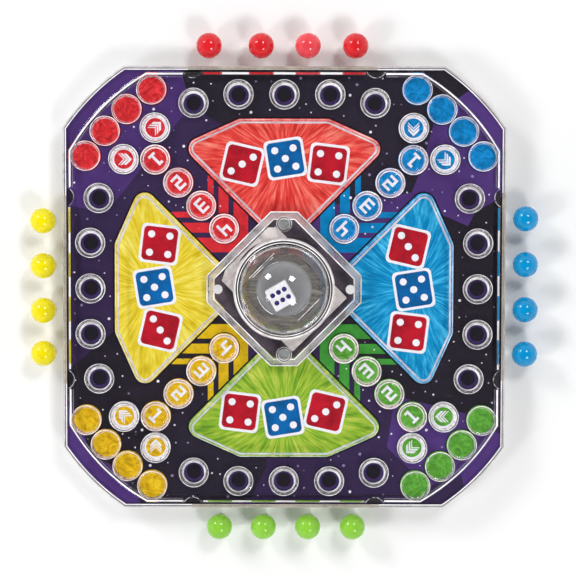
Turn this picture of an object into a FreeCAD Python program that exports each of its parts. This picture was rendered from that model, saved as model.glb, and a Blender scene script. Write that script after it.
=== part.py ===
"""A pop up dice board game: a clear moulded deck over a printed card, with a press down dome in the middle.

Millimetres, +Z up, origin on the table under the middle of the board. +Y points to the red player's side,
-Y to green, -X to yellow and +X to blue.
"""
import FreeCAD, Part
import math
import os
import Sketcher

os.makedirs("parts", exist_ok=True)
doc = FreeCAD.newDocument("dice_board_game")

SIZES = [
    # Feet, tray and card, from the table up.
    ("foot_height", 1.2), ("foot_radius", 7.0), ("foot_offset", 92.0),
    ("corner_centre", 21.0),
    ("tray_half", 130.3), ("tray_reach", 161.8), ("tray_wall", 2.0), ("tray_floor", 2.0),
    ("rib_thick", 2.0), ("rib_start", 44.0), ("tab_width", 9.0), ("tab_depth", 0.5),
    ("tab_height", 3.0), ("tab_low", 9.0),
    ("card_half", 130.6), ("card_reach", 162.1), ("card_low", 17.0), ("card_thick", 1.5),
    # Clear deck: skirt, flange and the raised middle with its sockets.
    ("skirt_half", 133.4), ("skirt_reach", 164.9), ("skirt_low", 2.0), ("skirt_flare", 1.2),
    ("skirt_wall", 1.4), ("flange_top", 20.5), ("flange_thick", 1.8), ("flange_bevel", 0.6),
    ("deck_half", 129.5), ("deck_reach", 154.5), ("deck_top", 24.0), ("deck_plate", 2.0),
    ("deck_wall", 4.9), ("deck_lean", 1.9),
    ("notch_along", 54.6), ("notch_out", 131.5), ("notch_radius", 5.7),
    ("socket_depth", 3.5), ("socket_shrink", 2.35), ("start_shrink", 0.8), ("cup_radius", 8.6),
    ("track_radius", 8.65), ("start_radius", 8.2), ("home_radius", 8.4),
    ("track_turn_x", 54.1), ("track_turn_y", 110.7), ("track_step", 27.3), ("track_side", 115.8),
    ("start_outer_x", 79.2), ("start_outer_y", 118.7), ("start_inner_x", 94.0), ("start_inner_y", 107.0),
    ("entry_x", 77.2), ("entry_y", 96.0), ("home_outer", 77.0), ("home_step", 13.7),
    ("petal_far", 100.9), ("petal_flat", 26.5), ("petal_tip_x", 61.0), ("petal_tip_y", 85.4),
    ("petal_near", 34.4), ("petal_round", 6.0), ("ridge_wide", 2.4),
    ("ridge_high", 0.9), ("well_hole", 30.8),
    # Clear housing of the dice popper, a square turned by 45 degrees with cut corners.
    ("housing_half", 46.2), ("housing_diamond", 54.3), ("housing_edge", 1.5), ("housing_top", 30.0),
    ("housing_slope", 4.5), ("housing_wall", 2.0), ("collar_outer", 29.5), ("collar_inner", 27.5),
    ("collar_top", 31.5), ("post_offset", 39.0), ("post_radius", 4.2), ("post_low", 16.8),
    ("post_bore", 2.2), ("post_bore_deep", 9.2),
    ("pin_offset", 39.4), ("pin_head", 2.75), ("pin_shank", 1.8), ("pin_proud", 0.5),
    ("pin_sink", 1.0), ("pin_low", 13.4), ("loose", 0.1),
    # Popper: cup, dome, carrier ring, spring steel plate and die.
    ("cup_low", 14.0), ("cup_floor", 2.0), ("cup_inner", 28.9), ("cup_outer", 30.4), ("cup_top", 23.9),
    ("frame_long", 30.3), ("frame_wide", 22.9), ("frame_thick", 1.0), ("frame_top", 27.8),
    ("frame_round", 1.0),
    ("anvil_radius", 5.0), ("anvil_top", 20.4), ("ear_low", 13.0), ("ear_half", 6.5), ("ear_round", 2.2),
    ("dome_radius", 27.2), ("dome_wall", 2.0), ("dome_rim", 28.6), ("dome_low", 25.7),
    ("dome_rim_thick", 2.0), ("ring_thick", 2.0), ("ring_inner", 21.0), ("plate_thick", 0.4),
    ("plate_half", 19.6), ("plate_reach", 27.2), ("dish_radius", 16.5), ("dish_depth", 1.0),
    ("die_side", 14.0), ("die_round", 1.2), ("die_x", -2.0), ("die_y", -3.4), ("die_turn", 30.0),
    ("die_gap", 0.05), ("pip_radius", 2.7), ("pip_sink", 0.45), ("pip_step", 3.9), ("pip_row", 2.5),
    # Screws from below into the housing's posts.
    ("boss_radius", 6.0), ("boss_bore", 4.1), ("boss_seat", 9.5), ("screw_radius", 2.1),
    ("screw_head", 3.7), ("screw_head_high", 2.6), ("screw_top", 25.0), ("screw_slot", 1.0),
    ("screw_cross", 4.4),
    # Playing pegs, standing round the board.
    ("peg_foot", 5.4), ("peg_step", 1.6), ("peg_waist", 3.9), ("peg_waist_at", 4.2), ("peg_neck", 3.6),
    ("peg_ball", 7.65), ("peg_ball_at", 14.2), ("peg_row", 145.2),
]

sheet = doc.addObject("Spreadsheet::Sheet", "sizes")
size = {}
for row, (alias, value) in enumerate(SIZES, start=1):
    sheet.set(f"A{row}", alias)
    sheet.set(f"B{row}", str(value))
    sheet.setAlias(f"B{row}", alias)
    size[alias] = value
doc.recompute()

CLOSE = 1e-3
CELL_RADIUS = {"track": "track_radius", "entry": "track_radius", "start": "start_radius",
               "home": "home_radius"}
SIDES = ("blue", "red", "yellow", "green")
PEG_ALONG = {
    "red": (-45.2, -14.0, 14.1, 42.6),
    "yellow": (40.2, 13.1, -13.9, -39.8),
    "blue": (41.9, 14.3, -12.9, -39.8),
    "green": (-39.0, -12.4, 14.5, 41.6),
}
DIE_FACES = {
    "top": (6, (0, 0, 1), 0),
    "bottom": (1, (1, 0, 0), 180),
    "front": (4, (1, 0, 0), 90),
    "back": (3, (1, 0, 0), -90),
    "right": (5, (0, 1, 0), 90),
    "left": (2, (0, 1, 0), -90),
}


def vector(x, y, z=0.0):
    return FreeCAD.Vector(x, y, z)


def turned(x, y, quarter):
    """The point (x, y) turned about the middle by so many quarter turns."""
    for _ in range(quarter % 4):
        x, y = -y, x
    return x, y


def new_body(label):
    body = doc.addObject("PartDesign::Body", "body_" + label)
    body.Label = label
    return body


def sketch_at(body, name, height=None, plane="XY_Plane"):
    """An empty sketch on one of the body's own origin planes, raised to a height in the sheet."""
    sketch = body.newObject("Sketcher::SketchObject", name)
    support = [item for item in body.Origin.OriginFeatures if item.Role == plane][0]
    sketch.AttachmentSupport = [(support, "")]
    sketch.MapMode = "FlatFace"
    if height:
        sketch.setExpression("AttachmentOffset.Base.z", height)
    return sketch


def extrude(body, kind, sketch, name, length, taper=0.0, upward=True):
    """A Pad or a Pocket of a sketch; a pocket cuts downward unless it is turned upward."""
    feature = body.newObject("PartDesign::" + kind, name)
    feature.Profile = sketch
    feature.setExpression("Length", length)
    feature.TaperAngle = taper
    if kind == "Pad":
        feature.Reversed = not upward
    else:
        feature.Reversed = upward
    sketch.Visibility = False
    return feature


def bowed_square(sketch, edge, inset=None):
    """A square with bowed, cut off corners: four sides and four arcs that share their centres' distance."""
    trim = size[inset] if inset else 0.0
    minus = f" - sizes.{inset}" if inset else ""
    half = size[edge + "_half"] - trim
    centre = size["corner_centre"]
    radius = size[edge + "_reach"] - trim - centre * math.sqrt(2)
    start = math.asin(math.sqrt(radius ** 2 - (half - centre) ** 2) / radius)
    along = centre + radius * math.sin(start)
    sweep_start, sweep_end = start, math.pi / 2 - start
    lines, arcs = [], []
    for quarter in range(4):
        low = vector(*turned(half, -along, quarter))
        high = vector(*turned(half, along, quarter))
        middle = vector(*turned(centre, centre, quarter))
        swing = quarter * math.pi / 2
        circle = Part.Circle(middle, vector(0, 0, 1), radius)
        lines.append(sketch.addGeometry(Part.LineSegment(low, high), False))
        arc = Part.ArcOfCircle(circle, sweep_start + swing, sweep_end + swing)
        arcs.append(sketch.addGeometry(arc, False))
    for quarter in range(4):
        line, arc, following = lines[quarter], arcs[quarter], lines[(quarter + 1) % 4]
        sketch.addConstraint(Sketcher.Constraint("Coincident", line, 2, arc, 1))
        sketch.addConstraint(Sketcher.Constraint("Coincident", arc, 2, following, 1))
        sketch.addConstraint(Sketcher.Constraint("Vertical" if quarter % 2 == 0 else "Horizontal", line))
        way = "DistanceX" if quarter % 2 == 0 else "DistanceY"
        ends = (-1, 1, line, 1) if quarter < 2 else (line, 1, -1, 1)
        bound = [(sketch.addConstraint(Sketcher.Constraint(way, *ends, half)), f"sizes.{edge}_half{minus}")]
        x, y = turned(1, 1, quarter)
        for way, sign in (("DistanceX", x), ("DistanceY", y)):
            ends = (-1, 1, arc, 3) if sign > 0 else (arc, 3, -1, 1)
            index = sketch.addConstraint(Sketcher.Constraint(way, *ends, centre))
            bound.append((index, "sizes.corner_centre"))
        index = sketch.addConstraint(Sketcher.Constraint("Radius", arc, radius))
        bound.append((index, f"sizes.{edge}_reach{minus} - sizes.corner_centre * sqrt(2)"))
        for index, formula in bound:
            sketch.setExpression(f"Constraints[{index}]", formula)


def circles(sketch, places, radius):
    """Equal circles at the given places; the first carries the radius that the sheet gives."""
    first = None
    for x, y in places:
        index = sketch.addGeometry(Part.Circle(vector(x, y), vector(0, 0, 1), size[radius]), False)
        if first is None:
            first = index
            bound = sketch.addConstraint(Sketcher.Constraint("Radius", index, size[radius]))
            sketch.setExpression(f"Constraints[{bound}]", f"sizes.{radius}")
        else:
            sketch.addConstraint(Sketcher.Constraint("Equal", first, index))
        sketch.addConstraint(Sketcher.Constraint("DistanceX", -1, 1, index, 3, x))
        sketch.addConstraint(Sketcher.Constraint("DistanceY", -1, 1, index, 3, y))


def loop(sketch, corners, rounding=0.0):
    """A closed outline of straight sides, each corner rounded by the same radius."""
    points = [vector(*corner) for corner in corners]
    starts, ends, arcs = [], [], []
    for index, corner in enumerate(points):
        before = (points[index - 1] - corner).normalize()
        after = (points[(index + 1) % len(points)] - corner).normalize()
        half_angle = before.getAngle(after) / 2
        back = rounding / math.tan(half_angle)
        enter, leave = corner + before * back, corner + after * back
        starts.append(leave)
        ends.append(enter)
        if rounding:
            bisector = (before + after).normalize()
            centre = corner + bisector * (rounding / math.sin(half_angle))
            middle = centre - bisector * rounding
            arcs.append(Part.Arc(enter, middle, leave))
    edges = [Part.LineSegment(starts[index - 1], ends[index]) for index in range(len(points))]
    for edge in edges + arcs:
        index = sketch.addGeometry(edge, False)
        sketch.addConstraint(Sketcher.Constraint("Block", index))


def bevel_flange(body, base):
    """Bevels the skirt's upper rim: the level edges at the flange that lie outside the raised deck."""
    doc.recompute()
    rims = []
    for index, edge in enumerate(base.Shape.Edges, start=1):
        box = edge.BoundBox
        level = box.ZMax - box.ZMin < CLOSE and abs(box.ZMin - size["flange_top"]) < CLOSE
        reach = max(abs(box.XMin), abs(box.XMax), abs(box.YMin), abs(box.YMax))
        if level and reach > size["deck_half"] + CLOSE:
            rims.append(f"Edge{index}")
    bevel = body.newObject("PartDesign::Chamfer", "flange_bevel_edge")
    bevel.Base = (base, rims)
    bevel.setExpression("Size", "sizes.flange_bevel")


def revolve(body, sketch, name):
    feature = body.newObject("PartDesign::Revolution", name)
    feature.Profile = sketch
    feature.ReferenceAxis = (sketch, ["V_Axis"])
    feature.Angle = 360.0
    sketch.Visibility = False
    return feature


def profile(body, name, edges):
    """A half section in the XZ plane, from a list of edges given as (x, z) points."""
    sketch = sketch_at(body, name, plane="XZ_Plane")
    for points in edges:
        ends = [vector(*point) for point in points]
        shape = Part.LineSegment(*ends) if len(ends) == 2 else Part.Arc(*ends)
        index = sketch.addGeometry(shape, False)
        sketch.addConstraint(Sketcher.Constraint("Block", index))
    return sketch


def polyline(points):
    return [(points[index], points[index + 1]) for index in range(len(points) - 1)]


def cell_places():
    """The middles of the board's cells, by kind: a quarter of the board, turned four times."""
    quarter_cells = {
        "track": [(-size["track_turn_x"], size["track_turn_y"]), (-size["track_step"], size["track_side"]),
                  (0.0, size["track_side"]), (size["track_step"], size["track_side"]),
                  (size["track_turn_x"], size["track_turn_y"])],
        "start": [(size["start_outer_x"], size["start_outer_y"]),
                  (size["start_inner_x"], size["start_inner_y"]),
                  (size["start_inner_y"], size["start_inner_x"]),
                  (size["start_outer_y"], size["start_outer_x"])],
        "entry": [(size["entry_x"], size["entry_y"]), (size["entry_y"], size["entry_x"])],
        "home": [(size["home_outer"] - step * size["home_step"],) * 2 for step in range(4)],
    }
    return {kind: [turned(x, y, quarter) for quarter in range(4) for x, y in cells]
            for kind, cells in quarter_cells.items()}


def diamond(half, slant):
    """A square turned by 45 degrees whose corners are cut off square at half."""
    flat = slant - half
    return [turned(x, y, quarter) for quarter in range(4) for x, y in ((half, -flat), (half, flat))]


def petal(inset):
    """One petal's outline on the +Y side, moved inward by inset, as its corner points."""
    shoulder_x, shoulder_y = size["petal_tip_x"] - size["petal_flat"], size["petal_far"] - size["petal_tip_y"]
    shoulder = math.atan2(shoulder_y, shoulder_x)
    flat = size["petal_flat"] - inset * math.tan(shoulder / 2)
    tip_turn = math.pi / 4 + shoulder
    drop = inset / math.sin(tip_turn / 2)
    toward = math.pi + (math.pi / 4 - shoulder) / 2
    tip_x = size["petal_tip_x"] + drop * math.cos(toward)
    tip_y = size["petal_tip_y"] + drop * math.sin(toward)
    near = size["petal_near"] + inset
    near_x = tip_x - (tip_y - near)
    far = size["petal_far"] - inset
    return [(-flat, far), (-tip_x, tip_y), (-near_x, near), (near_x, near), (tip_x, tip_y), (flat, far)]


def place(feature, x, y, height=None):
    feature.setExpression("Placement.Base.x", x)
    feature.setExpression("Placement.Base.y", y)
    if height:
        feature.setExpression("Placement.Base.z", height)


CELLS = cell_places()
ALL_CELLS = [spot for cells in CELLS.values() for spot in cells]
POSTS = [(0.0, size["post_offset"]), (0.0, -size["post_offset"])]
PINS = [(size["pin_offset"], 0.0), (-size["pin_offset"], 0.0)]


def make_feet():
    for name, x_sign, y_sign in (("foot_back_right", "", ""), ("foot_back_left", "-", ""),
                                 ("foot_front_left", "-", "-"), ("foot_front_right", "", "-")):
        foot = doc.addObject("Part::Cylinder", name)
        foot.Label = name
        foot.setExpression("Radius", "sizes.foot_radius")
        foot.setExpression("Height", "sizes.foot_height")
        place(foot, x_sign + "sizes.foot_offset", y_sign + "sizes.foot_offset")


def make_tray():
    """A shallow tray with card rests, snap tabs and bosses for the popper's screws and pins."""
    body = new_body("base_tray")
    outer = sketch_at(body, "tray_outline", "sizes.foot_height")
    bowed_square(outer, "tray")
    extrude(body, "Pad", outer, "tray_block", "sizes.card_low - sizes.foot_height")
    inner = sketch_at(body, "tray_inside", "sizes.card_low")
    bowed_square(inner, "tray", "tray_wall")
    extrude(body, "Pocket", inner, "tray_hollow", "sizes.card_low - sizes.foot_height - sizes.tray_floor",
            upward=False)
    ribs = sketch_at(body, "rib_plan", "sizes.foot_height")
    far = size["tray_half"] - size["tray_wall"] / 2
    half = size["rib_thick"] / 2
    for quarter in range(4):
        for shift in (-size["track_step"], size["track_step"]):
            bar = [(size["rib_start"], shift - half), (far, shift - half),
                   (far, shift + half), (size["rib_start"], shift + half)]
            loop(ribs, [turned(x, y, quarter) for x, y in bar])
    extrude(body, "Pad", ribs, "card_ribs", "sizes.card_low - sizes.foot_height")
    bosses = sketch_at(body, "boss_plan", "sizes.foot_height")
    circles(bosses, POSTS + PINS, "boss_radius")
    extrude(body, "Pad", bosses, "bosses", "sizes.ear_low - sizes.foot_height")
    wells = sketch_at(body, "screw_well_plan", "sizes.foot_height")
    circles(wells, POSTS, "boss_bore")
    extrude(body, "Pocket", wells, "screw_wells", "sizes.boss_seat - sizes.foot_height")
    holes = sketch_at(body, "screw_hole_plan", "sizes.boss_seat")
    circles(holes, POSTS, "post_bore")
    extrude(body, "Pocket", holes, "screw_holes", "sizes.ear_low - sizes.boss_seat + sizes.loose")
    tabs = sketch_at(body, "tab_plan", "sizes.tab_low")
    wide = size["tab_width"] / 2
    for quarter in range(4):
        for shift in (-size["notch_along"], size["notch_along"]):
            tab = [(far, shift - wide), (size["tray_half"] + size["tab_depth"], shift - wide),
                   (size["tray_half"] + size["tab_depth"], shift + wide), (far, shift + wide)]
            loop(tabs, [turned(x, y, quarter) for x, y in tab])
    extrude(body, "Pad", tabs, "snap_tabs", "sizes.tab_height")


def make_card():
    """The printed card, with holes for the popper's cup, the housing's posts and the pins."""
    body = new_body("printed_card")
    outline = sketch_at(body, "card_outline", "sizes.card_low")
    bowed_square(outline, "card")
    circles(outline, [(0.0, 0.0)], "well_hole")
    circles(outline, POSTS, "post_radius")
    circles(outline, PINS, "post_bore")
    extrude(body, "Pad", outline, "card", "sizes.card_thick")


def make_deck():
    """The clear deck: a flared skirt, a flange, a raised plate on cups, sockets, notches and petal ridges."""
    body = new_body("clear_deck")
    flare = math.degrees(math.atan(size["skirt_flare"] / (size["flange_top"] - size["skirt_low"])))
    skirt = sketch_at(body, "skirt_outline", "sizes.skirt_low")
    bowed_square(skirt, "skirt")
    extrude(body, "Pad", skirt, "skirt_block", "sizes.flange_top - sizes.skirt_low", taper=-flare)
    raised = sketch_at(body, "deck_outline", "sizes.flange_top")
    bowed_square(raised, "deck")
    slope = math.degrees(math.atan(size["deck_lean"] / (size["deck_top"] - size["flange_top"])))
    block = extrude(body, "Pad", raised, "deck_block", "sizes.deck_top - sizes.flange_top", taper=-slope)
    bevel_flange(body, block)
    ridges = sketch_at(body, "ridge_plan", "sizes.deck_top - sizes.ridge_high")
    for quarter in range(4):
        for inset in (0.0, size["ridge_wide"]):
            rounding = size["petal_round"] - inset
            loop(ridges, [turned(x, y, quarter) for x, y in petal(inset)], rounding)
    extrude(body, "Pad", ridges, "petal_ridges", "sizes.ridge_high * 2")
    footprint = sketch_at(body, "housing_footprint", "sizes.deck_top + sizes.ridge_high")
    room = size["loose"]
    loop(footprint, diamond(size["housing_half"] + room, size["housing_diamond"] + room * math.sqrt(2)))
    extrude(body, "Pocket", footprint, "housing_seat", "sizes.ridge_high", upward=False)
    under = sketch_at(body, "skirt_inside", "sizes.skirt_low")
    bowed_square(under, "skirt", "skirt_wall")
    extrude(body, "Pocket", under, "skirt_hollow", "sizes.flange_top - sizes.flange_thick - sizes.skirt_low",
            taper=-flare)
    inside = sketch_at(body, "deck_inside", "sizes.flange_top - sizes.flange_thick")
    bowed_square(inside, "deck", "deck_wall")
    depth = "sizes.deck_top - sizes.deck_plate - sizes.flange_top + sizes.flange_thick"
    extrude(body, "Pocket", inside, "deck_hollow", depth)
    holes = sketch_at(body, "popper_holes_plan", "sizes.deck_top")
    circles(holes, [(0.0, 0.0)], "well_hole")
    circles(holes, POSTS, "post_radius")
    circles(holes, PINS, "post_bore")
    extrude(body, "Pocket", holes, "popper_holes", "sizes.deck_top - sizes.card_low", upward=False)
    cups = sketch_at(body, "cup_plan", "sizes.flange_top - sizes.flange_thick")
    circles(cups, ALL_CELLS, "cup_radius")
    extrude(body, "Pad", cups, "cups", depth)
    for name, kinds, shrink in (("start_sockets", ("start",), "start_shrink"),
                                ("sockets", ("track", "entry", "home"), "socket_shrink")):
        plan = sketch_at(body, name + "_plan", "sizes.deck_top")
        for kind in kinds:
            circles(plan, CELLS[kind], CELL_RADIUS[kind])
        lean = math.degrees(math.atan(size[shrink] / size["socket_depth"]))
        extrude(body, "Pocket", plan, name, "sizes.socket_depth", taper=-lean, upward=False)
    notches = sketch_at(body, "notch_plan", "sizes.deck_top")
    spots = [turned(size["notch_out"], shift, quarter) for quarter in range(4)
             for shift in (-size["notch_along"], size["notch_along"])]
    circles(notches, spots, "notch_radius")
    extrude(body, "Pocket", notches, "notches", "sizes.deck_top - sizes.flange_top", upward=False)


def make_housing():
    """The clear housing over the popper: sloping sides, a flat top, a collar and two hollow posts."""
    body = new_body("popper_housing")
    slant = size["housing_diamond"]
    wall = size["housing_wall"]
    foot = sketch_at(body, "housing_outline", "sizes.deck_top")
    loop(foot, diamond(size["housing_half"], slant))
    extrude(body, "Pad", foot, "housing_foot", "sizes.housing_edge")
    slope = sketch_at(body, "housing_slope_base", "sizes.deck_top + sizes.housing_edge")
    loop(slope, diamond(size["housing_half"], slant))
    extrude(body, "Pad", slope, "housing_sides", "sizes.housing_slope", taper=-45.0)
    hollow = sketch_at(body, "housing_inside", "sizes.deck_top")
    inner = diamond(size["housing_half"] - wall, slant - wall * math.sqrt(2))
    loop(hollow, inner)
    extrude(body, "Pocket", hollow, "housing_hollow", "sizes.housing_edge")
    upper = sketch_at(body, "housing_inside_slope", "sizes.deck_top + sizes.housing_edge")
    loop(upper, inner)
    extrude(body, "Pocket", upper, "housing_upper_hollow", "sizes.housing_slope - sizes.housing_wall",
            taper=-45.0)
    posts = sketch_at(body, "post_plan", "sizes.post_low")
    circles(posts, POSTS, "post_radius")
    extrude(body, "Pad", posts, "posts", "sizes.housing_top - sizes.housing_wall - sizes.post_low")
    bores = sketch_at(body, "post_bore_plan", "sizes.post_low")
    circles(bores, POSTS, "post_bore")
    extrude(body, "Pocket", bores, "post_bores", "sizes.post_bore_deep")
    collar = sketch_at(body, "collar_plan", "sizes.housing_top - sizes.housing_wall")
    circles(collar, [(0.0, 0.0)], "collar_outer")
    extrude(body, "Pad", collar, "collar", "sizes.collar_top - sizes.housing_top + sizes.housing_wall")
    opening = sketch_at(body, "opening_plan", "sizes.collar_top")
    circles(opening, [(0.0, 0.0)], "collar_inner")
    extrude(body, "Pocket", opening, "opening", "sizes.collar_top - sizes.deck_top", upward=False)
    shanks = sketch_at(body, "pin_hole_plan", "sizes.housing_top")
    circles(shanks, PINS, "pin_shank")
    extrude(body, "Pocket", shanks, "pin_holes", "sizes.housing_wall + sizes.loose", upward=False)
    heads = sketch_at(body, "pin_seat_plan", "sizes.housing_top")
    circles(heads, PINS, "pin_head")
    extrude(body, "Pocket", heads, "pin_seats", "sizes.pin_sink", upward=False)


def make_pins():
    """White plastic pins that locate the housing over the cup's ears."""
    for name, sign in (("pin_right", ""), ("pin_left", "-")):
        shank = doc.addObject("Part::Cylinder", name + "_shank")
        shank.setExpression("Radius", "sizes.pin_shank")
        shank.setExpression("Height", "sizes.housing_top - sizes.pin_sink - sizes.pin_low")
        place(shank, sign + "sizes.pin_offset", "0", "sizes.pin_low")
        head = doc.addObject("Part::Cylinder", name + "_head")
        head.setExpression("Radius", "sizes.pin_head")
        head.setExpression("Height", "sizes.pin_sink + sizes.pin_proud")
        place(head, sign + "sizes.pin_offset", "0", "sizes.housing_top - sizes.pin_sink")
        pin = doc.addObject("Part::Fuse", name)
        pin.Label = name
        pin.Base = shank
        pin.Tool = head


def make_cup():
    """The cup under the housing: a round wall that guides the dome, an anvil post and four ears."""
    body = new_body("popper_cup")
    wall = sketch_at(body, "cup_outline", "sizes.cup_low")
    circles(wall, [(0.0, 0.0)], "cup_outer")
    extrude(body, "Pad", wall, "cup_block", "sizes.cup_top - sizes.cup_low")
    bore = sketch_at(body, "cup_inside", "sizes.cup_top")
    circles(bore, [(0.0, 0.0)], "cup_inner")
    extrude(body, "Pocket", bore, "cup_hollow", "sizes.cup_top - sizes.cup_low - sizes.cup_floor",
            upward=False)
    post = sketch_at(body, "anvil_plan", "sizes.cup_low")
    circles(post, [(0.0, 0.0)], "anvil_radius")
    extrude(body, "Pad", post, "anvil", "sizes.anvil_top - sizes.cup_low")
    ears = sketch_at(body, "ear_plan", "sizes.ear_low")
    root = size["cup_outer"] - size["cup_floor"]
    wide = size["ear_half"]
    tip = size["post_offset"] + wide
    for quarter in range(4):
        ear = [(root, -wide), (tip, -wide), (tip, wide), (root, wide)]
        loop(ears, [turned(x, y, quarter) for x, y in ear], size["ear_round"])
    extrude(body, "Pad", ears, "ears", "sizes.post_low - sizes.ear_low")
    holes = sketch_at(body, "ear_hole_plan", "sizes.post_low")
    circles(holes, POSTS, "post_bore")
    circles(holes, PINS, "pin_shank")
    extrude(body, "Pocket", holes, "ear_holes", "sizes.post_low - sizes.ear_low + sizes.loose", upward=False)


def make_frame():
    """The frame round the dome's rim: a ring on a plate whose ends reach out under the housing."""
    body = new_body("popper_frame")
    plate = sketch_at(body, "frame_plate_outline", "sizes.deck_top")
    long_way, wide = size["frame_long"], size["frame_wide"]
    corners = [(-long_way, -wide), (long_way, -wide), (long_way, wide), (-long_way, wide)]
    slanted = [((x + y) * math.sqrt(0.5), (y - x) * math.sqrt(0.5)) for x, y in corners]
    loop(plate, slanted, size["frame_round"])
    extrude(body, "Pad", plate, "frame_plate", "sizes.frame_thick")
    ring = sketch_at(body, "frame_ring_outline", "sizes.deck_top")
    circles(ring, [(0.0, 0.0)], "cup_outer")
    extrude(body, "Pad", ring, "frame_ring", "sizes.frame_top - sizes.deck_top")
    bore = sketch_at(body, "frame_bore_plan", "sizes.frame_top")
    circles(bore, [(0.0, 0.0)], "cup_inner")
    extrude(body, "Pocket", bore, "frame_bore", "sizes.frame_top - sizes.deck_top", upward=False)


def make_screws():
    """Two self tapping screws, from below through the tray and the cup's ears into the housing's posts."""
    parts = []
    for index, (x, y) in enumerate(POSTS, start=1):
        head = doc.addObject("Part::Cylinder", f"screw_head_{index}")
        head.setExpression("Radius", "sizes.screw_head")
        head.setExpression("Height", "sizes.screw_head_high")
        head.setExpression("Placement.Base.z", "sizes.boss_seat - sizes.screw_head_high")
        shank = doc.addObject("Part::Cylinder", f"screw_shank_{index}")
        shank.setExpression("Radius", "sizes.screw_radius")
        shank.setExpression("Height", "sizes.screw_top - sizes.boss_seat")
        shank.setExpression("Placement.Base.z", "sizes.boss_seat")
        solid = doc.addObject("Part::Fuse", f"screw_solid_{index}")
        solid.Base = head
        solid.Tool = shank
        bars = []
        for long_way in ("Length", "Width"):
            bar = doc.addObject("Part::Box", f"screw_slot_{index}_{long_way.lower()}")
            short_way = "Width" if long_way == "Length" else "Length"
            bar.setExpression(long_way, "sizes.screw_cross")
            bar.setExpression(short_way, "sizes.screw_slot")
            bar.setExpression("Height", "sizes.screw_slot")
            centre = {"Length": "Placement.Base.x", "Width": "Placement.Base.y"}
            bar.setExpression(centre[long_way], "-sizes.screw_cross / 2")
            bar.setExpression(centre[short_way], "-sizes.screw_slot / 2")
            bar.setExpression("Placement.Base.z", "sizes.boss_seat - sizes.screw_head_high")
            bars.append(bar)
        cross = doc.addObject("Part::Fuse", f"screw_cross_{index}")
        cross.Base, cross.Tool = bars
        screw = doc.addObject("Part::Cut", f"screw_{index}")
        screw.Base = solid
        screw.Tool = cross
        screw.setExpression("Placement.Base.y", "sizes.post_offset" if y > 0 else "-sizes.post_offset")
        parts.append(screw)
    group = doc.addObject("Part::Compound", "housing_screws")
    group.Label = "housing_screws"
    group.Links = parts


def make_dome():
    """The dome: half a hollow ball on a flat rim that the housing's collar holds down."""
    body = new_body("dome")
    low = size["dome_low"]
    centre = low + size["dome_rim_thick"]
    outer, inner = size["dome_radius"], size["dome_radius"] - size["dome_wall"]
    slant = math.sqrt(0.5)
    edges = polyline([(inner, centre), (inner, low), (size["dome_rim"], low), (size["dome_rim"], centre),
                      (outer, centre)])
    edges.append(((outer, centre), (outer * slant, centre + outer * slant), (0.0, centre + outer)))
    edges.append(((0.0, centre + outer), (0.0, centre + inner)))
    edges.append(((0.0, centre + inner), (inner * slant, centre + inner * slant), (inner, centre)))
    revolve(body, profile(body, "dome_section", edges), "dome_shell")


def make_plate_ring():
    """The ring that clamps the steel plate's four corners under the dome's rim."""
    outer = doc.addObject("Part::Cylinder", "ring_outer_round")
    outer.setExpression("Radius", "sizes.dome_rim")
    inner = doc.addObject("Part::Cylinder", "ring_inner_round")
    inner.setExpression("Radius", "sizes.ring_inner")
    for part in (outer, inner):
        part.setExpression("Height", "sizes.ring_thick")
        part.setExpression("Placement.Base.z", "sizes.dome_low - sizes.plate_thick - sizes.ring_thick")
    ring = doc.addObject("Part::Cut", "plate_ring")
    ring.Label = "plate_ring"
    ring.Base = outer
    ring.Tool = inner


def make_click_plate():
    """A square spring steel plate, turned by 45 degrees, with a round dish pressed into its middle."""
    body = new_body("click_plate")
    thick = size["plate_thick"]
    flat = sketch_at(body, "plate_outline", "sizes.dome_low - sizes.plate_thick")
    loop(flat, diamond(size["plate_reach"], size["plate_half"] * math.sqrt(2)))
    extrude(body, "Pad", flat, "plate_flat", "sizes.plate_thick")
    top = size["dome_low"]
    floor = top - size["dish_depth"]
    radius = size["dish_radius"]
    section = polyline([(0.0, floor), (radius - size["dish_depth"], floor), (radius, top),
                        (radius + thick, top - thick), (radius - size["dish_depth"] + thick, floor - thick),
                        (0.0, floor - thick), (0.0, floor)])
    hollow = sketch_at(body, "dish_hole_plan", "sizes.dome_low")
    circles(hollow, [(0.0, 0.0)], "dish_radius")
    extrude(body, "Pocket", hollow, "dish_hole", "sizes.plate_thick", upward=False)
    revolve(body, profile(body, "dish_section", section), "dish")


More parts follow.
